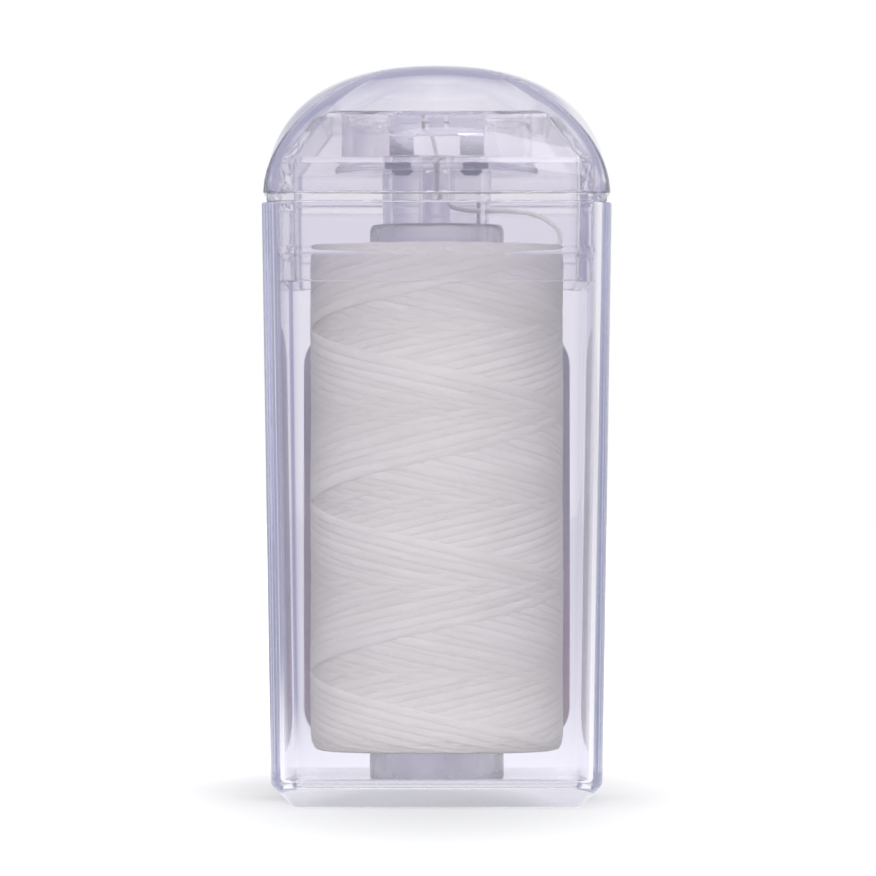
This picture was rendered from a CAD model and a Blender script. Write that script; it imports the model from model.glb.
import math

import bmesh
import bpy
import numpy as np
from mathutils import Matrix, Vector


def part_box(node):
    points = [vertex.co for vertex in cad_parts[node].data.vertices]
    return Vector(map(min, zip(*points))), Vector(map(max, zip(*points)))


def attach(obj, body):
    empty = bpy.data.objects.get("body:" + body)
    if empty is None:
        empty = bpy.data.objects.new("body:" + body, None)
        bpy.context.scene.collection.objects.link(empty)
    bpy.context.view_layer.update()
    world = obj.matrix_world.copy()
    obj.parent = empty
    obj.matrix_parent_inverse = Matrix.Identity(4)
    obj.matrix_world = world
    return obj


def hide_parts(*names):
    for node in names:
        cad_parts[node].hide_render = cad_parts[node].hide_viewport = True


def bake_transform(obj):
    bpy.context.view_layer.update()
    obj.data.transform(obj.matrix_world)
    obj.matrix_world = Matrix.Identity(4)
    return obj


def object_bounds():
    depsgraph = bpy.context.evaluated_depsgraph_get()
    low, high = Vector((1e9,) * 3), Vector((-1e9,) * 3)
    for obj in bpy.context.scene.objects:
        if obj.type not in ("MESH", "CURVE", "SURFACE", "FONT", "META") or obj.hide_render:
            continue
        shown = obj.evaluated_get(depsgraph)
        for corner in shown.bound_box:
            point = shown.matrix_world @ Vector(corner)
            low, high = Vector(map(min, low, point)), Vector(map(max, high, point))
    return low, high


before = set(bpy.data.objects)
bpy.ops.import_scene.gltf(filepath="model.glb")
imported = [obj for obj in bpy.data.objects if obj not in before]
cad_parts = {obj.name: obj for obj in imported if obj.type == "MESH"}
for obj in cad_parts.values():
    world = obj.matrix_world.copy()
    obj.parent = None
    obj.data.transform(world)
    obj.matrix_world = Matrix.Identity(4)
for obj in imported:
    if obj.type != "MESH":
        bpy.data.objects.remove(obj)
cad_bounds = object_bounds()

# Pieces are shaped in millimetres and brought to metres at the end.
MM = 0.001


def corners_mm(node):
    """The lowest and highest corner of a CAD node, in millimetres."""
    return [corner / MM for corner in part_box(node)]


case_high = corners_mm("case_body")[1]
cap_low, cap_high = corners_mm("cap")
lid_low, lid_high = corners_mm("inner_lid")
cutter_low = corners_mm("thread_cutter")[0]
core_low, core_high = corners_mm("spool_core")
wound_low, wound_high = corners_mm("floss_winding")
mass_low, mass_high = corners_mm("floss_package")

# Walls and edges of the case and the cap
CASE_WALL = 1.1
FLOOR_Z = 1.9
CASE_LEAN = math.tan(math.radians(0.9))
FOOT_BEVEL = 1.85
FOOT_EDGE = 0.21
UPRIGHT_R = 2.4
SPIGOT_SIDE_Z = 4.3
SPIGOT_EDGE = 0.2
SPIGOT_ROOT = 0.3
FLOOR_FILLET = 0.5
MOULD_EDGE = 0.14
CAP_WALL = 0.68
CAP_CUTS = 11
DOME_POWER = 2.4
DOME_ROUNDING = 1.4
DOME_ROUNDEST = 0.97
RIM_ANGLE = math.radians(60)
DOME_LAST = math.radians(84)
DOME_STEPS = 24

# Inner lid
SKIRT_WALL = 1.35
SKIRT_EDGE = 0.18
SKIRT_UPRIGHT_R = 1.6
SKIRT_CUTS = 5
BEAD_UP = 2.52
BEAD_HALF_H = 0.4
NECK_HALF = 12.7
NECK_Z = 49.1
FLANGE_Z = 48.45
FLANGE_EDGE = 0.14
SHOULDER_Z = 51.6
CROWN_Z = 55.2
WELL_FLOOR_Z = 51.75
WELL_UNDER_Z = 51.2
WELL_R = 7.8
WELL_WALL = 0.6
WELL_FOOT = 0.5
WELL_FILLET = 0.5
LIP = 0.16
PIVOT_R = 4.37
PIVOT_WALL = 0.8
BOSS_Z = 45.6
BOSS_FLARE = 0.08
GUIDE_R = 1.45
GUIDE_BORE_R = 0.85
GUIDE_Z = 47.05
WINDOW_TOP_Z = 49
HOLLOW_NECK_Z = 48.4
HOLLOW_TOP_Z = 55.1
HOLLOW_TOP_HALF = 8.8

# Up the lid's outside. Bead: stand-off from the skirt, and height against the bead's middle
BEAD = [(0.12, -BEAD_HALF_H / 2), (0.14, 0), (0.12, BEAD_HALF_H / 2), (0.06, BEAD_HALF_H)]

# Neck: half width against NECK_HALF, and height
NECK = [(0.12, NECK_Z), (0, NECK_Z + 0.12), (0, SHOULDER_Z - 0.2), (-0.05, SHOULDER_Z),
        (-0.22, SHOULDER_Z + 0.26)]

# Crown: half width, height against CROWN_Z and roundness
CROWN = [(10.15, -0.2, 0), (9.9, 0.08, 0.02), (9.5, 0.36, 0.05), (8.95, 0.54, 0.1)]
PLATE_EDGE = (8.25, 0.15)

# Core and floss
CORE_R = 5.45
CORE_BORE_R = 4.95
CORE_CROWN = 0.34
CORE_CROWN_H = 0.7
CORE_EDGE = 0.15


# Modelling steps


def open_block(low, high):
    """Adds a block between two corners and opens it in edit mode."""
    middle = [(a + b) / 2 for a, b in zip(low, high)]
    reach = [(b - a) / 2 for a, b in zip(low, high)]
    bpy.ops.object.select_all(action="DESELECT")
    bpy.ops.mesh.primitive_cube_add(size=2, location=middle, scale=reach)
    bpy.ops.object.transform_apply(location=True, rotation=False, scale=True)
    bpy.ops.object.mode_set(mode="EDIT")
    return bpy.context.object


def square_block(half, low_z, high_z):
    return open_block((-half, -half, low_z), (half, half, high_z))


def middle_of(part):
    return sum((v.co for v in part.verts), part.verts[0].co * 0) / len(part.verts)


def pick(kind, test):
    """Selects the faces or edges of the open piece that pass the test."""
    bpy.ops.mesh.select_mode(type=kind)
    bpy.ops.mesh.select_all(action="DESELECT")
    data = bpy.context.object.data
    mesh = bmesh.from_edit_mesh(data)
    mesh.normal_update()
    parts = mesh.faces if kind == "FACE" else mesh.edges
    for part in parts:
        part.select_set(bool(test(part)))
    mesh.select_flush_mode()
    bmesh.update_edit_mesh(data)


def edges_at(*heights):
    """Selects the level edges at these heights."""
    pick("EDGE", lambda edge: any(all(abs(v.co.z - z) < 1e-3 for v in edge.verts) for z in heights))


def end_face(choose):
    """Selects the level face at the highest or the lowest place, for max or min."""
    level = choose(v.co.z for v in bmesh.from_edit_mesh(bpy.context.object.data).verts)
    pick("FACE", lambda face: all(abs(v.co.z - level) < 1e-3 for v in face.verts))


def top_face():
    end_face(max)


def bottom_face():
    end_face(min)


def chosen():
    mesh = bmesh.from_edit_mesh(bpy.context.object.data)
    return [v.co for v in mesh.verts if v.select]


def resize_to(half):
    """Scales the chosen ring about the axis to a half width."""
    ring = chosen()
    factor = half / max(co.x for co in ring)
    bpy.ops.transform.resize(value=(factor, factor, 1), center_override=(0, 0, ring[0].z))


def grow(stations, roundness=0.0):
    """Extrudes the chosen ring through stations of half width, height and roundness."""
    for half, z, rounder in stations:
        rise = z - chosen()[0].z
        bpy.ops.mesh.extrude_region_move(TRANSFORM_OT_translate={"value": (0, 0, rise)})
        if rounder > roundness:
            bpy.ops.transform.tosphere(value=(rounder - roundness) / (1 - roundness))
            roundness = rounder
        resize_to(half)


def bevel_uprights(radius, segments=10):
    pick("EDGE", lambda edge: abs(edge.verts[0].co.z - edge.verts[1].co.z) > 1e-3)
    bpy.ops.mesh.bevel(offset=radius, segments=segments, affect="EDGES")


def soften(heights, radius, segments=3):
    """Rounds the level edges at these heights."""
    edges_at(*heights)
    bpy.ops.mesh.bevel(offset=radius, segments=segments, affect="EDGES")


def close_edit():
    bpy.ops.object.mode_set(mode="OBJECT")


def lathe(outline, sides=96):
    """Turns a closed outline of (radius, height) points into a solid of revolution."""
    bpy.ops.object.select_all(action="DESELECT")
    radius, z = outline[0]
    bpy.ops.mesh.primitive_circle_add(vertices=sides, radius=radius, location=(0, 0, z))
    bpy.ops.object.transform_apply(location=True, rotation=False, scale=False)
    bpy.ops.object.mode_set(mode="EDIT")
    bpy.ops.mesh.select_mode(type="EDGE")
    bpy.ops.mesh.select_all(action="SELECT")
    grow([(radius, z, 0) for radius, z in outline[1:]])
    bpy.ops.mesh.select_all(action="DESELECT")
    bpy.ops.mesh.select_non_manifold()
    bpy.ops.mesh.bridge_edge_loops()
    bpy.ops.mesh.select_all(action="SELECT")
    bpy.ops.mesh.normals_make_consistent(inside=False)
    close_edit()
    return bpy.context.object


def arc(radius, z, r, start, end, steps=4):
    """Points round a corner of an outline, from one angle to another in degrees."""
    angles = [math.radians(start + (end - start) * i / steps) for i in range(steps + 1)]
    return [(radius + r * math.cos(a), z + r * math.sin(a)) for a in angles]


def apply_modifier(piece, kind, **settings):
    modifier = piece.modifiers.new("step", kind)
    for key, value in settings.items():
        setattr(modifier, key, value)
    bpy.ops.object.select_all(action="DESELECT")
    bpy.context.view_layer.objects.active = piece
    piece.select_set(True)
    bpy.ops.object.modifier_apply(modifier=modifier.name)


def combine(piece, tool, operation):
    """Joins a solid to a piece or cuts it out, and removes the solid."""
    apply_modifier(piece, "BOOLEAN", operation=operation, object=tool, solver="EXACT")
    bpy.data.objects.remove(tool)


def finish_piece(piece, name, material, body, nodes, smooth=32):
    """Brings a piece to metres, shades it and fixes it to its body."""
    piece.name = piece.data.name = name
    bpy.ops.object.select_all(action="DESELECT")
    bpy.context.view_layer.objects.active = piece
    piece.select_set(True)
    piece.scale = (MM, MM, MM)
    bpy.ops.object.transform_apply(location=False, rotation=False, scale=True)
    bpy.ops.object.shade_smooth_by_angle(angle=math.radians(smooth))
    apply_modifier(piece, "WEIGHTED_NORMAL", keep_sharp=True)
    piece.data.materials.clear()
    piece.data.materials.append(material)
    if body:
        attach(piece, body)
    if nodes:
        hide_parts(*nodes)
    return piece


# Materials, with heights in metres between which a colour changes

STEEL_TONE_Z = (0.0525, 0.0535)
LABEL_TONE_Z = (0.006, 0.036)
LABEL_TONE_ENDS = (-0.1, 0.8)


class Look:
    """A node material with short calls to add and join its nodes."""

    def __init__(self, name):
        self.material = bpy.data.materials.new(name)
        self.material.use_nodes = True
        self.tree = self.material.node_tree
        self.shader = self.tree.nodes["Principled BSDF"]
        self.out = self.tree.nodes["Material Output"]

    def add(self, kind, **sockets):
        node = self.tree.nodes.new(kind)
        for key, value in sockets.items():
            node.inputs[key.replace("_", " ")].default_value = value
        return node

    def join(self, source, target):
        self.tree.links.new(source, target)

    def set(self, **sockets):
        for key, value in sockets.items():
            self.shader.inputs[key.replace("_", " ")].default_value = value

    def coordinates(self, output="Object", scale=(1, 1, 1)):
        place = self.tree.nodes.new("ShaderNodeTexCoord")
        mapping = self.add("ShaderNodeMapping", Scale=scale)
        self.join(place.outputs[output], mapping.inputs["Vector"])
        return mapping.outputs["Vector"]

    def group(self, tree, **values):
        node = self.tree.nodes.new("ShaderNodeGroup")
        node.node_tree = tree
        for key, value in values.items():
            node.inputs[key.replace("_", " ")].default_value = value
        return node

    def tones(self, share, first, second):
        """Colours the shader from the first colour to the second by a share from 0 to 1."""
        mix = self.tree.nodes.new("ShaderNodeMix")
        mix.data_type = "RGBA"
        mix.inputs["A"].default_value = first
        mix.inputs["B"].default_value = second
        self.join(share, mix.inputs["Factor"])
        self.join(mix.outputs["Result"], self.shader.inputs["Base Color"])

    def up_from(self, low, high, least=0.0, most=1.0):
        """A share that rises from one height in metres to another."""
        place = self.tree.nodes.new("ShaderNodeSeparateXYZ")
        self.join(self.coordinates(), place.inputs["Vector"])
        share = self.add("ShaderNodeMapRange", From_Min=low, From_Max=high, To_Min=least, To_Max=most)
        self.join(place.outputs["Z"], share.inputs["Value"])
        return share.outputs["Result"]

    def bump(self, height, strength, distance):
        node = self.add("ShaderNodeBump", Strength=strength, Distance=distance)
        self.join(height, node.inputs["Height"])
        self.join(node.outputs["Normal"], self.shader.inputs["Normal"])


def rgb(red, green, blue):
    """A colour written as it looks on a screen, from 0 to 255, in linear light."""
    shares = [value / 255 for value in (red, green, blue)]
    return [s / 12.92 if s <= 0.04045 else ((s + 0.055) / 1.055) ** 2.4 for s in shares] + [1]


def handling_group():
    """Faint smears and fine moulding waves: a roughness and a height from a place."""
    tree = bpy.data.node_groups.new("handled_surface", "ShaderNodeTree")
    for name, kind in (("Place", "NodeSocketVector"), ("Least", "NodeSocketFloat"),
                       ("Most", "NodeSocketFloat"), ("Smear Scale", "NodeSocketFloat"),
                       ("Wave Scale", "NodeSocketFloat")):
        tree.interface.new_socket(name, in_out="INPUT", socket_type=kind)
    for name in ("Roughness", "Height"):
        tree.interface.new_socket(name, in_out="OUTPUT", socket_type="NodeSocketFloat")
    ends = tree.nodes.new("NodeGroupInput"), tree.nodes.new("NodeGroupOutput")
    smear = tree.nodes.new("ShaderNodeTexNoise")
    smear.inputs["Detail"].default_value = 4
    smear.inputs["Distortion"].default_value = 0.6
    spread = tree.nodes.new("ShaderNodeMapRange")
    spread.inputs["From Min"].default_value = 0.35
    spread.inputs["From Max"].default_value = 0.75
    wave = tree.nodes.new("ShaderNodeTexNoise")
    wave.inputs["Detail"].default_value = 1
    for source, target in (
            (ends[0].outputs["Place"], smear.inputs["Vector"]),
            (ends[0].outputs["Smear Scale"], smear.inputs["Scale"]),
            (smear.outputs["Fac"], spread.inputs["Value"]),
            (ends[0].outputs["Least"], spread.inputs["To Min"]),
            (ends[0].outputs["Most"], spread.inputs["To Max"]),
            (spread.outputs["Result"], ends[1].inputs["Roughness"]),
            (ends[0].outputs["Place"], wave.inputs["Vector"]),
            (ends[0].outputs["Wave Scale"], wave.inputs["Scale"]),
            (wave.outputs["Fac"], ends[1].inputs["Height"])):
        tree.links.new(source, target)
    return tree


handled = handling_group()


def add_handling(look, least, most, smear_scale, wave_scale, strength, distance):
    """Smears between the least and most roughness, and waves in the surface."""
    marks = look.group(handled, Least=least, Most=most, Smear_Scale=smear_scale,
                       Wave_Scale=wave_scale)
    look.join(look.coordinates(), marks.inputs["Place"])
    look.join(marks.outputs["Roughness"], look.shader.inputs["Roughness"])
    look.bump(marks.outputs["Height"], strength, distance)


def let_lamps_through(look, tint):
    """Lamps reach what stands behind a clear wall."""
    path = look.tree.nodes.new("ShaderNodeLightPath")
    open_way = look.add("ShaderNodeBsdfTransparent", Color=tint)
    mix = look.tree.nodes.new("ShaderNodeMixShader")
    look.join(path.outputs["Is Shadow Ray"], mix.inputs["Fac"])
    look.join(look.shader.outputs["BSDF"], mix.inputs[1])
    look.join(open_way.outputs["BSDF"], mix.inputs[2])
    look.join(mix.outputs["Shader"], look.out.inputs["Surface"])


def absorb(look, colour, density):
    volume = look.add("ShaderNodeVolumeAbsorption", Color=colour, Density=density)
    look.join(volume.outputs["Volume"], look.out.inputs["Volume"])


def clear_plastic():
    """Polished and clear, with a faint lavender in its thickness."""
    look = Look("clear_plastic")
    look.set(Base_Color=(0.93, 0.915, 0.96, 1), Transmission_Weight=1, IOR=1.49)
    add_handling(look, 0.012, 0.06, 140, 60, 0.05, 0.0004)
    absorb(look, (0.2, 0.28, 0.59, 1), 9)
    let_lamps_through(look, (0.98, 0.975, 0.99, 1))
    return look.material


def frosted_plastic():
    """Slightly rough and nearly clear."""
    look = Look("frosted_plastic")
    look.set(Base_Color=rgb(251, 250, 251), Transmission_Weight=0.96, IOR=1.42)
    add_handling(look, 0.02, 0.07, 220, 160, 0.1, 0.0002)
    absorb(look, (0.3, 0.34, 0.5, 1), 4)
    let_lamps_through(look, (0.9, 0.9, 0.93, 1))
    return look.material


def core_plastic():
    """White that lets some light through."""
    look = Look("core_plastic")
    look.set(Base_Color=rgb(254, 254, 255), IOR=1.5, Transmission_Weight=0.92, Subsurface_Weight=0.25,
             Subsurface_Scale=0.0008, Subsurface_Radius=(1, 1, 1))
    add_handling(look, 0.2, 0.32, 260, 320, 0.15, 0.0002)
    return look.material


def waxed_floss():
    """Off-white thread with fine fibres and slow changes of tone along it."""
    look = Look("waxed_floss")
    fibre_place = look.coordinates("UV", (0.9, 7, 1))
    fibres = look.add("ShaderNodeTexNoise", Scale=1.6, Detail=5, Roughness=0.7)
    look.join(fibre_place, fibres.inputs["Vector"])
    along = look.add("ShaderNodeTexNoise", Scale=0.11, Detail=3)
    look.join(look.coordinates("UV", (1, 0.2, 1)), along.inputs["Vector"])
    tone = look.add("ShaderNodeMapRange", From_Min=0.3, From_Max=0.7)
    look.join(along.outputs["Fac"], tone.inputs["Value"])
    look.tones(tone.outputs["Result"], rgb(240, 236, 227), rgb(250, 246, 238))
    rough = look.add("ShaderNodeMapRange", From_Min=0.3, From_Max=0.7, To_Min=0.42, To_Max=0.62)
    look.join(fibres.outputs["Fac"], rough.inputs["Value"])
    look.join(rough.outputs["Result"], look.shader.inputs["Roughness"])
    look.set(Sheen_Weight=0.3, Sheen_Roughness=0.4, Subsurface_Weight=0.2, Subsurface_Scale=0.0005,
             Subsurface_Radius=(1, 1, 1))
    look.bump(fibres.outputs["Fac"], 0.35, 0.00012)
    return look.material


def stamped_steel():
    """Bright plate with a fine grain and darker leg ends."""
    look = Look("stamped_steel")
    look.set(Metallic=1)
    look.tones(look.up_from(*STEEL_TONE_Z), rgb(132, 134, 150), rgb(212, 211, 222))
    grain = look.add("ShaderNodeTexNoise", Scale=900, Detail=4)
    look.join(look.coordinates(scale=(0.12, 1, 1)), grain.inputs["Vector"])
    rough = look.add("ShaderNodeMapRange", From_Min=0.3, From_Max=0.7, To_Min=0.16, To_Max=0.32)
    look.join(grain.outputs["Fac"], rough.inputs["Value"])
    look.join(rough.outputs["Result"], look.shader.inputs["Roughness"])
    look.bump(grain.outputs["Fac"], 0.15, 0.0001)
    return look.material


def label_film():
    """Mauve at the foot and greyer upwards, with a faint mottle."""
    look = Look("label_film")
    mottle = look.add("ShaderNodeTexNoise", Scale=90, Detail=3)
    look.join(look.coordinates(), mottle.inputs["Vector"])
    blend = look.tree.nodes.new("ShaderNodeMath")
    blend.operation = "MULTIPLY_ADD"
    blend.inputs[1].default_value = 0.4
    look.join(mottle.outputs["Fac"], blend.inputs[0])
    look.join(look.up_from(*LABEL_TONE_Z, *LABEL_TONE_ENDS), blend.inputs[2])
    look.tones(blend.outputs[0], rgb(222, 204, 209), rgb(210, 209, 213))
    add_handling(look, 0.35, 0.5, 200, 500, 0.08, 0.0001)
    return look.material


clear = clear_plastic()
frosted = frosted_plastic()
core_white = core_plastic()
floss = waxed_floss()
steel = stamped_steel()
film = label_film()


# Clear shells


def make_case():
    """A drafted box, bevelled at the foot and hollowed from its rim, with the spigot on its floor."""
    rim_z, rim_half = case_high.z, case_high.x
    foot_half = rim_half - rim_z * CASE_LEAN
    piece = square_block(rim_half, 0, rim_z)
    bottom_face()
    resize_to(foot_half)
    bevel_uprights(UPRIGHT_R)
    edges_at(0)
    bpy.ops.mesh.bevel(offset=FOOT_BEVEL, segments=1, affect="EDGES")
    bevel_top_z = min(v.co.z for v in bmesh.from_edit_mesh(piece.data).verts if v.co.z > 1e-3)
    soften((0, bevel_top_z), FOOT_EDGE)
    top_face()
    bpy.ops.mesh.inset(thickness=CASE_WALL)
    floor_half = rim_half - CASE_WALL - (rim_z - FLOOR_Z) * CASE_LEAN
    fillet = [(x, z, 0) for x, z in arc(floor_half - FLOOR_FILLET, FLOOR_Z + FLOOR_FILLET,
                                        FLOOR_FILLET, 0, -90)]
    grow(fillet)
    soften((rim_z,), MOULD_EDGE, 2)
    close_edit()
    spigot = lathe([(PIVOT_R, FLOOR_Z - SPIGOT_ROOT)]
                   + arc(PIVOT_R - SPIGOT_EDGE, SPIGOT_SIDE_Z, SPIGOT_EDGE, 0, 90)
                   + arc(PIVOT_R - PIVOT_WALL + SPIGOT_EDGE, SPIGOT_SIDE_Z, SPIGOT_EDGE, 90, 180)
                   + [(PIVOT_R - PIVOT_WALL, FLOOR_Z - SPIGOT_ROOT)])
    combine(piece, spigot, "UNION")
    return finish_piece(piece, "clear_case", clear, "case", ["case_body"])


def dome(half, low_z, height):
    """Stations up a dome whose profile is a superellipse and whose corners grow rounder."""
    for step in range(1, DOME_STEPS + 1):
        angle = DOME_LAST * step / DOME_STEPS
        across = math.cos(angle) ** (2 / DOME_POWER)
        up = (math.sin(angle) / math.sin(DOME_LAST)) ** (2 / DOME_POWER)
        rounder = min(math.sin(angle) ** DOME_ROUNDING, DOME_ROUNDEST)
        yield half * across, low_z + height * up, rounder


def make_cap():
    """The outside of the dome is grown ring by ring, and its wall is then thickened inwards."""
    low_z, half = cap_low.z, cap_high.x
    outside = list(dome(half, low_z, cap_high.z - low_z))
    first_half, first_z, first_round = outside[0]
    piece = square_block(half, low_z, first_z)
    bevel_uprights(UPRIGHT_R - 0.1)
    pick("EDGE", lambda edge: edge.calc_length() > half)
    bpy.ops.mesh.subdivide(number_cuts=CAP_CUTS)
    top_face()
    bpy.ops.transform.tosphere(value=first_round)
    resize_to(first_half)
    grow(outside[1:], first_round)
    bpy.ops.mesh.poke()
    bottom_face()
    bpy.ops.mesh.delete(type="FACE")
    close_edit()
    apply_modifier(piece, "SOLIDIFY", thickness=CAP_WALL, offset=-1, use_even_offset=True)
    apply_modifier(piece, "BEVEL", width=MOULD_EDGE, segments=2, limit_method="ANGLE",
                   angle_limit=RIM_ANGLE)
    return finish_piece(piece, "clear_cap", clear, "cap", ["cap"])


# Inner lid and cutter

SEAT_HALF = 5.2
SEAT_TOP_HALF = 4.1
SEAT_FRONT_Y = -4.9
SEAT_BACK_Y = -1.6
SEAT_TOP_Z = 55.5
SEAT_EDGE = 1.1
PLATE_HALF = 3.75
PLATE_RUN = 2.6
PLATE_RISE = 1.45
STEEL_T = 0.3
SHEET_UP = 0.343
LEG_FOLD_Z = 53.75
LEG_IN = 1.85
CUT_PLAY = 0.06
SLOPE = PLATE_RISE / PLATE_RUN
TOOTH_HALF = 0.6
TOOTH_FROM = 0.25
TOOTH_TO = 0.9
TOOTH_TIP_SHARE = 0.12
TOOTH_LIFT = 0.55
SLOT_HALF = 0.95
LEG_TIP_SHARE = 0.53
FOLD_R = 0.3
STEEL_EDGE = 0.035
STEEL_ANGLE = math.radians(40)


def make_seat():
    """The block under the cutter: leaning sides, round upper edges and a slanted bed."""
    seat = open_block((-SEAT_HALF, SEAT_FRONT_Y, WELL_FLOOR_Z - 0.2),
                      (SEAT_HALF, SEAT_BACK_Y, SEAT_TOP_Z))
    top_face()
    bpy.ops.transform.resize(value=(SEAT_TOP_HALF / SEAT_HALF, 1, 1))
    pick("EDGE", lambda edge: all(v.co.z > SEAT_TOP_Z - 1e-3 for v in edge.verts)
         and abs(edge.verts[0].co.x - edge.verts[1].co.x) < 1e-3)
    bpy.ops.mesh.bevel(offset=SEAT_EDGE, segments=6, affect="EDGES")
    close_edit()
    front, back = cutter_low.y - 1, SEAT_BACK_Y + 1
    half = PLATE_HALF + CUT_PLAY
    bed = open_block((-half, front, LEG_FOLD_Z), (half, back, SEAT_TOP_Z + 1))
    pick("EDGE", lambda edge: all(v.co.z < LEG_FOLD_Z + 1e-3 and v.co.y > back - 1e-3
                                  for v in edge.verts))
    bpy.ops.transform.translate(value=(0, 0, (back - cutter_low.y) * SLOPE))
    pick("EDGE", lambda edge: all(v.co.z < LEG_FOLD_Z + 1e-3 for v in edge.verts))
    bpy.ops.transform.translate(value=(0, 0, (front - cutter_low.y) * SLOPE))
    close_edit()
    combine(seat, bed, "DIFFERENCE")
    face_y = cutter_low.y + STEEL_T + CUT_PLAY
    leg_room = open_block((-half, front, WELL_FLOOR_Z), (half, face_y, SEAT_TOP_Z))
    close_edit()
    combine(seat, leg_room, "DIFFERENCE")
    return seat


def lid_outside(low_half, skirt_half, bead_z):
    """Stations up the lid's outside, over its bead, flange, neck, shoulder and crown."""
    edge = FLANGE_EDGE
    flange = lid_high.x - edge
    stations = [(low_half + out, bead_z + up, 0) for out, up in BEAD]
    stations += [(skirt_half, FLANGE_Z, 0), (flange, FLANGE_Z, 0)]
    stations += [(x, z, 0) for x, z in arc(flange, FLANGE_Z + edge, edge, -60, 0, 2)]
    stations += [(x, z, 0) for x, z in arc(flange, NECK_Z - edge, edge, 0, 90, 3)]
    stations += [(NECK_HALF + out, z, 0) for out, z in NECK]
    stations += [(x, CROWN_Z + up, rounder) for x, up, rounder in CROWN]
    return stations + [(PLATE_EDGE[0], lid_high.z, PLATE_EDGE[1])]


def well_and_boss():
    """The lid's round middle: the well, the boss under it and the guide tube inside the boss."""
    inner_r, foot_r = WELL_R - WELL_WALL, WELL_R + WELL_FOOT
    boss_top = PIVOT_R + BOSS_FLARE
    return lathe(
        [(GUIDE_BORE_R, GUIDE_Z)] + arc(GUIDE_R - LIP, GUIDE_Z + LIP, LIP, -90, 0)
        + [(GUIDE_R, WELL_UNDER_Z), (boss_top - PIVOT_WALL, WELL_UNDER_Z)]
        + [(PIVOT_R - PIVOT_WALL, BOSS_Z)] + arc(PIVOT_R - LIP, BOSS_Z + LIP, LIP, -90, 0)
        + [(boss_top, WELL_UNDER_Z), (foot_r - LIP, WELL_UNDER_Z)]
        + arc(foot_r - LIP, WELL_UNDER_Z + LIP, LIP, -60, 0)
        + [(foot_r, WELL_FLOOR_Z - 0.1), (WELL_R, WELL_FLOOR_Z + 0.4), (WELL_R, lid_high.z - 0.2)]
        + arc(WELL_R - 0.1, lid_high.z - LIP / 2, LIP / 2, 0, 90, 2)
        + arc(inner_r + LIP, lid_high.z - LIP, LIP, 90, 180)
        + arc(inner_r - WELL_FILLET, WELL_FLOOR_Z + WELL_FILLET, WELL_FILLET, 0, -90)
        + [(GUIDE_BORE_R, WELL_FLOOR_Z)])


def make_lid():
    """The plug is grown ring by ring and hollowed, then gets its well, seat, slots and window."""
    skirt_half = NECK_HALF + 0.05
    low_half = skirt_half - (FLANGE_Z - lid_low.z) * CASE_LEAN
    bead_z = lid_low.z + BEAD_UP
    piece = square_block(low_half, lid_low.z, bead_z - BEAD_HALF_H)
    bevel_uprights(SKIRT_UPRIGHT_R, 8)
    pick("EDGE", lambda edge: edge.calc_length() > low_half)
    bpy.ops.mesh.subdivide(number_cuts=SKIRT_CUTS)
    top_face()
    grow(lid_outside(low_half, skirt_half, bead_z))
    bottom_face()
    bpy.ops.mesh.inset(thickness=SKIRT_WALL)
    grow([(skirt_half - SKIRT_WALL, HOLLOW_NECK_Z, 0), (NECK_HALF - SKIRT_WALL, SHOULDER_Z + 0.12, 0),
          (HOLLOW_TOP_HALF, HOLLOW_TOP_Z, 0)])
    soften((lid_low.z,), SKIRT_EDGE, 3)
    close_edit()
    hole_r, low_z, high_z = WELL_R - WELL_WALL / 2, 54, 57
    hole = lathe([(0.01, low_z), (hole_r, low_z), (hole_r, high_z), (0.01, high_z)])
    combine(piece, hole, "DIFFERENCE")
    combine(piece, well_and_boss(), "UNION")
    combine(piece, make_seat(), "UNION")
    low_z, high_z = 50, 52.5
    for side in (-1, 1):
        near, far = sorted((side * (LEG_IN - CUT_PLAY), side * (PLATE_HALF + CUT_PLAY)))
        slot = open_block((near, cutter_low.y - CUT_PLAY, low_z),
                          (far, cutter_low.y + STEEL_T + CUT_PLAY, high_z))
        close_edit()
        combine(piece, slot, "DIFFERENCE")
    window = open_block((0, -1, BOSS_Z - 0.4), (CORE_R, 1, WINDOW_TOP_Z))
    close_edit()
    combine(piece, window, "DIFFERENCE")
    return finish_piece(piece, "frosted_lid", frosted, "lid", ["inner_lid"], 28)


def tooth_past(y):
    """Selects the tooth's edges that lie behind y."""
    reach = SLOT_HALF - 0.01
    pick("EDGE", lambda edge: all(v.co.y > y and abs(v.co.x) < reach for v in edge.verts))


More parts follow.
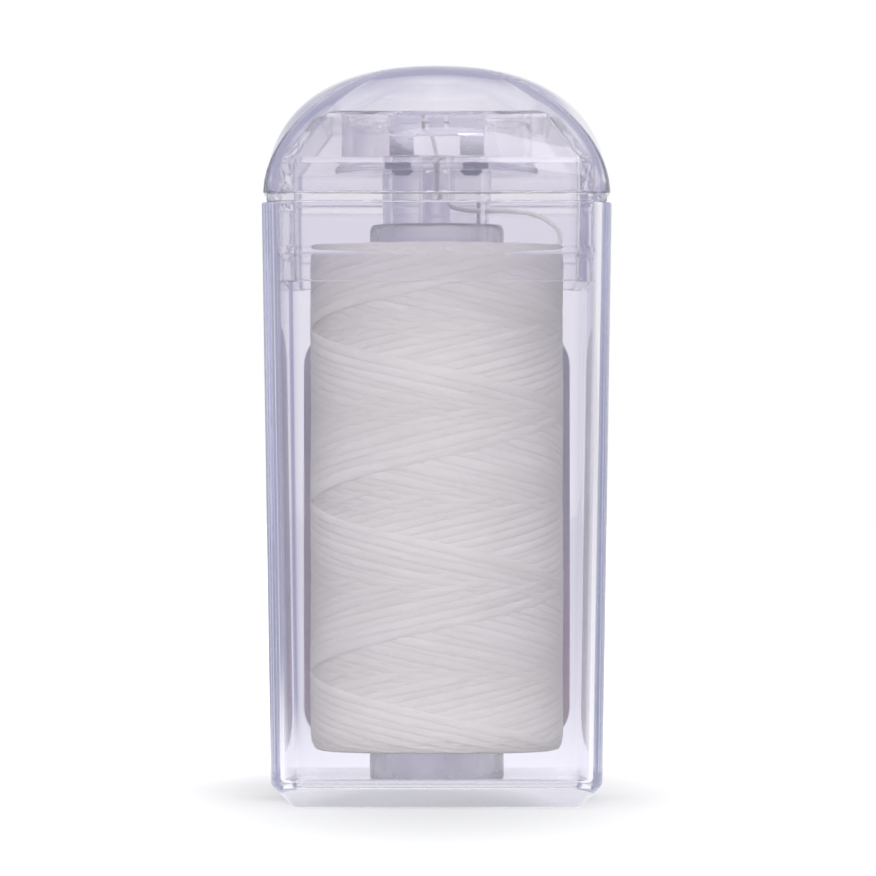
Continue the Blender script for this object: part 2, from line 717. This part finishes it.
def make_cutter():
    """The sheet is divided, its slots are cut, and the legs and the tooth are drawn out of it."""
    front, z = cutter_low.y, LEG_FOLD_Z + SHEET_UP
    bpy.ops.object.select_all(action="DESELECT")
    bpy.ops.mesh.primitive_plane_add(size=2, location=(0, front + PLATE_RUN / 2, z))
    piece = bpy.context.object
    piece.scale = (PLATE_HALF, PLATE_RUN / 2, 1)
    bpy.ops.object.transform_apply(location=True, rotation=False, scale=True)
    bpy.ops.object.mode_set(mode="EDIT")
    root_y, tip_y = front + PLATE_RUN * TOOTH_FROM, front + PLATE_RUN * TOOTH_TO
    for x in (-LEG_IN, -SLOT_HALF, -TOOTH_HALF, TOOTH_HALF, SLOT_HALF, LEG_IN):
        bpy.ops.mesh.select_all(action="SELECT")
        bpy.ops.mesh.bisect(plane_co=(x, 0, 0), plane_no=(1, 0, 0))
    for y in (root_y, (root_y + tip_y) / 2, tip_y):
        bpy.ops.mesh.select_all(action="SELECT")
        bpy.ops.mesh.bisect(plane_co=(0, y, 0), plane_no=(0, 1, 0))
    pick("FACE", lambda face: middle_of(face).y > root_y and (
        TOOTH_HALF < abs(middle_of(face).x) < SLOT_HALF
        or (abs(middle_of(face).x) < SLOT_HALF and middle_of(face).y > tip_y)))
    bpy.ops.mesh.delete(type="FACE")
    mesh = bmesh.from_edit_mesh(piece.data)
    for vert in mesh.verts:
        vert.co.z += (vert.co.y - front) * SLOPE
    bmesh.update_edit_mesh(piece.data)
    tooth_past(root_y + 0.01)
    bpy.ops.transform.translate(value=(0, 0, TOOTH_LIFT))
    tooth_past(tip_y - 0.01)
    bpy.ops.transform.resize(value=(TOOTH_TIP_SHARE, 1, 1))
    pick("EDGE", lambda edge: all(v.co.y < front + 0.01 for v in edge.verts)
         and abs(middle_of(edge).x) > LEG_IN)
    for drop_to in (LEG_FOLD_Z - 1, WELL_UNDER_Z, cutter_low.z):
        bpy.ops.mesh.extrude_region_move(
            TRANSFORM_OT_translate={"value": (0, 0, drop_to - chosen()[0].z)})
    for side in (-1, 1):
        pick("EDGE", lambda edge: all(v.co.z < cutter_low.z + 0.01 and v.co.x * side > 0
                                      for v in edge.verts))
        leg_middle = (side * (LEG_IN + PLATE_HALF) / 2, 0, 0)
        bpy.ops.transform.resize(value=(LEG_TIP_SHARE, 1, 1), center_override=leg_middle)
    pick("EDGE", lambda edge: all(v.co.y < front + 0.01 and abs(v.co.z - z) < 0.01 for v in edge.verts)
         and abs(middle_of(edge).x) > LEG_IN)
    bpy.ops.mesh.bevel(offset=FOLD_R, segments=4, affect="EDGES")
    bpy.ops.mesh.select_all(action="SELECT")
    bpy.ops.mesh.normals_make_consistent(inside=False)
    close_edit()
    plate = max(piece.data.polygons, key=lambda face: face.area if abs(face.normal.z) > 0.5 else 0)
    if plate.normal.z < 0:
        piece.data.flip_normals()
    apply_modifier(piece, "SOLIDIFY", thickness=STEEL_T, offset=-1, use_even_offset=True)
    apply_modifier(piece, "BEVEL", width=STEEL_EDGE, segments=2, limit_method="ANGLE",
                   angle_limit=STEEL_ANGLE)
    return finish_piece(piece, "steel_cutter", steel, "lid", ["thread_cutter"], 40)


# Core and floss


def make_core():
    """A plain tube with a soft crown at its upper end."""
    low, high, edge = core_low.z, core_high.z, CORE_EDGE
    crown = [(CORE_R - CORE_CROWN + (r - CORE_R) * CORE_CROWN, high + (z - high) * CORE_CROWN_H)
             for r, z in arc(CORE_R, high - 1, 1, 0, 90, 6)]
    outline = (arc(CORE_R - edge, low + edge, edge, -90, 0) + crown
               + arc(CORE_BORE_R + edge, high - edge, edge, 90, 180)
               + arc(CORE_BORE_R + edge, low + edge, edge, 180, 270))
    piece = lathe(outline)
    return finish_piece(piece, "core_tube", core_white, "spool", ["spool_core"])


THREAD_W = 1.0
THREAD_T = 0.17
LEAD = 13.2
TRAVERSES = 42
WOUND_GROWTH = 0.12
RINGS_PER_TURN = 56
TURNBACK = 0.996
WOUND_LIFT = 0.05
END_FALL = 0.3
END_REACH = 0.9
UNEVEN = 0.012
UNEVEN_WAVES = 2.9
MASS_INSET = 0.2
MASS_UNDER = 0.1
MASS_EDGE = 0.5
MASS_PLAY = 0.02
END_RIPPLES = 11
RIPPLE_STEPS = 6
RIPPLE_HALF = 0.08

# Waves along the thread: size in millimetres, waves in a turn and start
WANDER = [(0.05, 0.37, 1.3), (0.05, 1.71, 0.4), (0.03, 4.13, 2.1)]

# Waves in the thread's width: size as a share of it, and waves in a turn
SPREAD = [(0.1, 0.83), (0.06, 3.3)]


def tube_mesh(name, points, outwards, half_out, half_side, sides):
    """A closed tube of oval section along points, with a UV map along and round it."""
    rows = len(points)
    ahead = np.gradient(points, axis=0)
    ahead /= np.linalg.norm(ahead, axis=1)[:, None]
    out = outwards - ahead * np.sum(outwards * ahead, axis=1)[:, None]
    out /= np.linalg.norm(out, axis=1)[:, None]
    side = np.cross(ahead, out)
    angles = 2 * np.pi * np.arange(sides) / sides
    half_out, half_side = (np.broadcast_to(value, rows) for value in (half_out, half_side))
    verts = (points[:, None, :]
             + np.cos(angles)[None, :, None] * (out * half_out[:, None])[:, None, :]
             + np.sin(angles)[None, :, None] * (side * half_side[:, None])[:, None, :]).reshape(-1, 3)
    row, spoke = np.meshgrid(np.arange(rows - 1), np.arange(sides), indexing="ij")
    after = (spoke + 1) % sides
    quads = np.stack([row * sides + spoke, row * sides + after,
                      (row + 1) * sides + after, (row + 1) * sides + spoke], axis=-1).reshape(-1, 4)
    ends = [list(range(sides - 1, -1, -1)), [(rows - 1) * sides + i for i in range(sides)]]
    mesh = bpy.data.meshes.new(name)
    mesh.from_pydata(verts.tolist(), [], quads.tolist() + ends)
    length = np.concatenate([[0], np.cumsum(np.linalg.norm(np.diff(points, axis=0), axis=1))])
    across = np.stack([spoke, spoke + 1, spoke + 1, spoke], axis=-1) / sides
    along = np.stack([length[row], length[row], length[row + 1], length[row + 1]], axis=-1)
    uv = np.stack([along, across], axis=-1).reshape(-1, 2)
    uv = np.concatenate([uv, np.zeros((2 * sides, 2))])
    mesh.uv_layers.new(name="thread").data.foreach_set("uv", uv.astype(np.float32).ravel())
    piece = bpy.data.objects.new(name, mesh)
    bpy.context.scene.collection.objects.link(piece)
    return piece


def wound_path():
    """The thread's middle line: it runs down and up the package while it goes round."""
    low = wound_low.z + THREAD_W / 2 + WOUND_LIFT
    high = mass_high.z - THREAD_W / 2
    one_way = (high - low) / LEAD
    per_double = round(2 * one_way) + 2 / TRAVERSES
    one_way = per_double / 2
    total = TRAVERSES * one_way
    turns = np.linspace(0, total, int(total * RINGS_PER_TURN))
    swing = TURNBACK * np.cos(np.pi * turns / one_way)
    share = 0.5 + np.arcsin(swing) / (2 * math.asin(TURNBACK))
    wander = sum(size * np.sin(2 * np.pi * waves * turns + start) for size, waves, start in WANDER)
    inside = np.clip(4 * share * (1 - share) * 6, 0, 1)
    z = low + (high - low) * share + wander * inside
    end_gap = np.minimum(z - low, high - z)
    r_last = wound_high.x - THREAD_T / 2
    drop = END_FALL * (1 - np.clip(end_gap / END_REACH, 0, 1)) ** 2
    ripple = UNEVEN * np.sin(2 * np.pi * UNEVEN_WAVES * turns)
    r = r_last - WOUND_GROWTH * (1 - turns / total) - drop + ripple - UNEVEN
    angle = 2 * np.pi * (turns - total)
    return np.stack([r * np.cos(angle), r * np.sin(angle), z], axis=1), turns


def make_floss():
    """The outer layers: one flat thread from end to end."""
    points, turns = wound_path()
    outwards = points * [1, 1, 0]
    width = THREAD_W / 2 * sum((size * np.sin(2 * np.pi * waves * turns) for size, waves in SPREAD), 1)
    piece = tube_mesh("floss_wound", points, outwards, THREAD_T / 2, width, 8)
    return finish_piece(piece, "floss_wound", floss, "spool", ["floss_winding"], 60)


def make_mass():
    """The older layers under the outer winding, with the turns' ends as ripples on both faces."""
    low, high, edge = mass_low.z + MASS_INSET, mass_high.z - MASS_INSET, MASS_EDGE
    outer = wound_high.x - WOUND_GROWTH - THREAD_T - MASS_UNDER
    steps = RIPPLE_STEPS * END_RIPPLES
    start_r = CORE_R + MASS_PLAY
    run = outer - edge - start_r
    waves = [1 - math.cos(2 * math.pi * i / RIPPLE_STEPS) for i in range(steps + 1)]
    lower = [(start_r + run * i / steps, low + RIPPLE_HALF * wave) for i, wave in enumerate(waves)]
    upper = [(r, low + high - z) for r, z in reversed(lower)]
    sides = arc(outer - edge, low + edge, edge, -60, 0) + arc(outer - edge, high - edge, edge, 0, 60)
    piece = lathe(lower + sides + upper)
    return finish_piece(piece, "floss_inner_layers", floss, "spool",
                        ["floss_package"], 60)


# Route of the free strand, with its heights above the core's upper end
STRAND_ROUTE = [
    [10.05, 0, -1.6], [10.05, 0, -1.0], [9.9, 0, -0.5], [9.5, 0, 0], [8.8, 0, 0.5],
    [7.9, 0, 0.9], [6.8, 0, 1.1], [5.6, 0, 1.2], [4.4, 0, 1.2], [3.2, 0, 1.2],
    [2.1, 0, 1.3], [1.1, 0, 1.6], [0.45, 0, 2.1], [0.1, 0, 2.8], [0, 0, 3.6],
    [0, 0, 4.6], [-0.05, 0, 5.6], [-0.25, -0.15, 6.6], [-0.55, -0.45, 7.6], [-0.85, -0.95, 8.5],
    [-1.0, -1.5, 9.0], [-1.05, -2.1, 9.15], [-1.05, -2.7, 8.95], [-1.05, -3.3, 8.6],
    [-1.05, -4.0, 8.2]]
STRAND_R = 0.18


def smooth_route(route, steps=4):
    """Points on a smooth curve through the route."""
    knots = np.array([route[0]] + route + [route[-1]], float)
    points = []
    for i in range(1, len(knots) - 2):
        for t in np.linspace(0, 1, steps, endpoint=False):
            a, b, c, d = knots[i - 1:i + 3]
            points.append(0.5 * (2 * b + (c - a) * t + (2 * a - 5 * b + 4 * c - d) * t ** 2
                                 + (3 * b - a - 3 * c + d) * t ** 3))
    return np.array(points + [knots[-2]])


def make_strand():
    """The free end: its foot stays at the package, its top rises with the lid, and it slants between."""
    points = smooth_route(STRAND_ROUTE) + [0, 0, core_high.z]
    side = np.broadcast_to([1.0, 1.0, 0.0], points.shape)
    piece = tube_mesh("floss_end", points, side, STRAND_R, STRAND_R, 12)
    finish_piece(piece, "floss_end", floss, None, ["floss_strand"], 60)
    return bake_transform(piece)


make_case()
make_cap()
make_lid()
make_cutter()
make_core()
make_mass()
make_floss()
make_strand()
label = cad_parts["back_label"]
label.data.materials.clear()
label.data.materials.append(film)


# Floor, light and camera

PHOTO_SIDE = 876
PIXELS_PER_MM = 12.25
OBJECT_PIXEL_X = 436.8
EYE_PIXEL_Y = 509
EYE_Z = 23.9
DISTANCE = 555
SENSOR = 36
CLEAR_BOUNCES = 64
SHADOW_WALLS = 32
ROOM_LIGHT = 0.5
GLOW_NEAR = 0.11
GLOW_FAR = 0.9
GLOW_THROUGH = 0.45
GLOW_NARROW = 4.5
GLOW_REACH = 0.22
SEAMS = 8
SEAM_WIDTH = 1.5
SEAM_COLOUR = (0.3, 0.3, 0.46, 1)
SEAM_LEFT = 0.85
SEAM_RIGHT = 0.12
ROOF_DARK = 0.8
ROOF_FROM = (0.13, 0.32)
ROOF_TO = (0.6, 0.8)
FRONT_DARK = 0.7
FRONT_EDGE = (-0.9, -0.6)
SIDE_EDGE = (-0.3, 0.3)
FLOOR_SEAMS = (0.05, 0.3)


def join_or_set(tree, socket, value):
    """Joins a node's output to a socket, or sets a number on it."""
    if isinstance(value, bpy.types.NodeSocket):
        tree.links.new(value, socket)
    else:
        socket.default_value = value


def math_node(tree, operation, *values):
    node = tree.nodes.new("ShaderNodeMath")
    node.operation = operation
    for socket, value in zip(node.inputs, values):
        join_or_set(tree, socket, value)
    return node.outputs[0]


def ranged(tree, value, from_low, from_high, to_low, to_high):
    """Brings a value from one range smoothly to another."""
    node = tree.nodes.new("ShaderNodeMapRange")
    node.interpolation_type = "SMOOTHSTEP"
    ends = {"Value": value, "From Min": from_low, "From Max": from_high,
            "To Min": to_low, "To Max": to_high}
    for name, end in ends.items():
        join_or_set(tree, node.inputs[name], end)
    return node.outputs["Result"]


def vector_node(tree, operation, vector, output):
    node = tree.nodes.new("ShaderNodeVectorMath")
    node.operation = operation
    tree.links.new(vector, node.inputs[0])
    return node.outputs[output]


def camera_ray(tree):
    return tree.nodes.new("ShaderNodeLightPath").outputs["Is Camera Ray"]


def seen_rays(tree):
    """1 on camera rays, also by way of clear and glossy pieces, and 0 on rays that light a piece."""
    path = tree.nodes.new("ShaderNodeLightPath")
    bent = math_node(tree, "MAXIMUM", path.outputs["Is Glossy Ray"], path.outputs["Is Transmission Ray"])
    kinds = math_node(tree, "MAXIMUM", path.outputs["Is Camera Ray"], bent)
    unlit = math_node(tree, "LESS_THAN", path.outputs["Diffuse Depth"], 0.5)
    return math_node(tree, "MULTIPLY", kinds, unlit)


def tent_group():
    """How dark the tent round the object is in a direction: its seams, roof and open front."""
    tree = bpy.data.node_groups.new("tent_seams", "ShaderNodeTree")
    tree.interface.new_socket("Direction", in_out="INPUT", socket_type="NodeSocketVector")
    tree.interface.new_socket("Darkness", in_out="OUTPUT", socket_type="NodeSocketFloat")
    ends = tree.nodes.new("NodeGroupInput"), tree.nodes.new("NodeGroupOutput")
    parts = tree.nodes.new("ShaderNodeSeparateXYZ")
    direction = vector_node(tree, "NORMALIZE", ends[0].outputs["Direction"], "Vector")
    tree.links.new(direction, parts.inputs["Vector"])
    across, away, up = parts.outputs
    turns = math_node(tree, "MULTIPLY", math_node(tree, "ARCTAN2", across, away), SEAMS / 2)
    wave = math_node(tree, "ABSOLUTE", math_node(tree, "SINE", turns))
    seams = math_node(tree, "MINIMUM", math_node(tree, "MULTIPLY", wave, SEAM_WIDTH), 1.0)
    depth = ranged(tree, across, *SIDE_EDGE, SEAM_LEFT, SEAM_RIGHT)
    dark = math_node(tree, "MULTIPLY", seams, depth)
    roof = math_node(tree, "MULTIPLY", ranged(tree, up, *ROOF_FROM, 0.0, ROOF_DARK),
                     ranged(tree, up, *ROOF_TO, 1.0, 0.0))
    dark = math_node(tree, "MAXIMUM", dark, roof)
    dark = math_node(tree, "MAXIMUM", dark, ranged(tree, away, *FRONT_EDGE, FRONT_DARK, 0.0))
    tree.links.new(dark, ends[1].inputs["Darkness"])
    return tree


def make_floor():
    """White ground with the object's soft shadow, and with the tent's dark parts behind clear pieces."""
    bpy.ops.object.select_all(action="DESELECT")
    bpy.ops.mesh.primitive_grid_add(x_subdivisions=4, y_subdivisions=4, size=20, location=(0, 0, 0))
    floor = bpy.context.object
    floor.name = "floor"
    look = Look("white_ground")
    look.set(Base_Color=(0.86, 0.86, 0.87, 1), Roughness=0.9, Specular_IOR_Level=0)
    tree = look.tree
    narrow = vector_node(tree, "LENGTH", look.coordinates(scale=(GLOW_NARROW, 1, 1)), "Value")
    direct = camera_ray(tree)
    indirect = math_node(tree, "SUBTRACT", 1.0, direct)
    near_glow = ranged(tree, narrow, 0.0, GLOW_REACH, GLOW_NEAR, GLOW_FAR)
    strength = math_node(tree, "ADD", math_node(tree, "MULTIPLY", direct, near_glow),
                         math_node(tree, "MULTIPLY", indirect, GLOW_THROUGH))
    glow = look.add("ShaderNodeEmission", Color=(1, 1, 1, 1))
    look.join(math_node(tree, "MULTIPLY", strength, seen_rays(tree)), glow.inputs["Strength"])
    both = tree.nodes.new("ShaderNodeAddShader")
    look.join(look.shader.outputs["BSDF"], both.inputs[0])
    look.join(glow.outputs[0], both.inputs[1])
    seams = look.group(tent)
    look.join(look.coordinates(), seams.inputs["Direction"])
    away = vector_node(tree, "LENGTH", look.coordinates(), "Value")
    far = ranged(tree, away, *FLOOR_SEAMS, 0.0, 1.0)
    darkness = math_node(tree, "MULTIPLY", far, seams.outputs["Darkness"])
    share = math_node(tree, "MULTIPLY", indirect, darkness)
    dim = look.add("ShaderNodeEmission", Color=SEAM_COLOUR, Strength=1)
    choose = tree.nodes.new("ShaderNodeMixShader")
    look.join(math_node(tree, "MULTIPLY", share, seen_rays(tree)), choose.inputs["Fac"])
    look.join(both.outputs[0], choose.inputs[1])
    look.join(dim.outputs[0], choose.inputs[2])
    look.join(choose.outputs[0], look.out.inputs["Surface"])
    floor.data.materials.append(look.material)


def make_world():
    """Even light from all round, and a white background to look at, also through clear pieces."""
    world = bpy.data.worlds.new("studio")
    world.use_nodes = True
    bpy.context.scene.world = world
    tree = world.node_tree
    room = tree.nodes["Background"]
    room.inputs["Color"].default_value = (0.96, 0.97, 1.0, 1)
    room.inputs["Strength"].default_value = ROOM_LIGHT
    place = tree.nodes.new("ShaderNodeTexCoord")
    seams = tree.nodes.new("ShaderNodeGroup")
    seams.node_tree = tent
    tree.links.new(place.outputs["Generated"], seams.inputs["Direction"])
    indirect = math_node(tree, "SUBTRACT", 1.0, camera_ray(tree))
    tone = tree.nodes.new("ShaderNodeMix")
    tone.data_type = "RGBA"
    tone.inputs["A"].default_value = (1, 1, 1, 1)
    tone.inputs["B"].default_value = SEAM_COLOUR
    share = math_node(tree, "MULTIPLY", indirect, seams.outputs["Darkness"])
    tree.links.new(share, tone.inputs["Factor"])
    white = tree.nodes.new("ShaderNodeBackground")
    white.inputs["Strength"].default_value = 1
    tree.links.new(tone.outputs["Result"], white.inputs["Color"])
    mix = tree.nodes.new("ShaderNodeMixShader")
    tree.links.new(seen_rays(tree), mix.inputs["Fac"])
    tree.links.new(room.outputs[0], mix.inputs[1])
    tree.links.new(white.outputs[0], mix.inputs[2])
    tree.links.new(mix.outputs[0], tree.nodes["World Output"].inputs["Surface"])


def make_lamp(name, place, size, power):
    """A square soft lamp that looks at the middle of the object and isn't seen in reflections."""
    lamp = bpy.data.lights.new(name, "AREA")
    lamp.size = size
    lamp.energy = power
    holder = bpy.data.objects.new(name, lamp)
    bpy.context.scene.collection.objects.link(holder)
    holder.location = place
    aim = cad_bounds[0].lerp(cad_bounds[1], 0.5) - holder.location
    holder.rotation_euler = aim.to_track_quat("-Z", "Y").to_euler()
    holder.visible_glossy = False


def make_camera():
    """The photograph's view: level with EYE_Z, at DISTANCE in front, and slightly tilted."""
    camera = bpy.data.objects.new("camera", bpy.data.cameras.new("camera"))
    bpy.context.scene.collection.objects.link(camera)
    camera.data.sensor_width = SENSOR
    camera.data.lens = SENSOR * DISTANCE * PIXELS_PER_MM / PHOTO_SIDE
    camera.data.clip_start, camera.data.clip_end = 0.01, 50
    side_step = (PHOTO_SIDE / 2 - OBJECT_PIXEL_X) / PIXELS_PER_MM
    camera.location = (side_step * MM, -DISTANCE * MM, EYE_Z * MM)
    tilt = math.atan((EYE_PIXEL_Y - PHOTO_SIDE / 2) / PIXELS_PER_MM / DISTANCE)
    camera.rotation_euler = (math.pi / 2 + tilt, 0, 0)
    bpy.context.scene.camera = camera


tent = tent_group()
make_floor()
make_world()
make_lamp("key_softbox", (0.22, -0.74, 0.82), 0.65, 4.6)
make_lamp("side_softbox", (-0.4, -0.7, 0.3), 0.4, 1.3)
make_camera()
bpy.context.scene.view_settings.view_transform = "Standard"
bpy.context.scene.cycles.max_bounces = CLEAR_BOUNCES
bpy.context.scene.cycles.transmission_bounces = CLEAR_BOUNCES
bpy.context.scene.cycles.glossy_bounces = CLEAR_BOUNCES
bpy.context.scene.cycles.transparent_max_bounces = SHADOW_WALLS
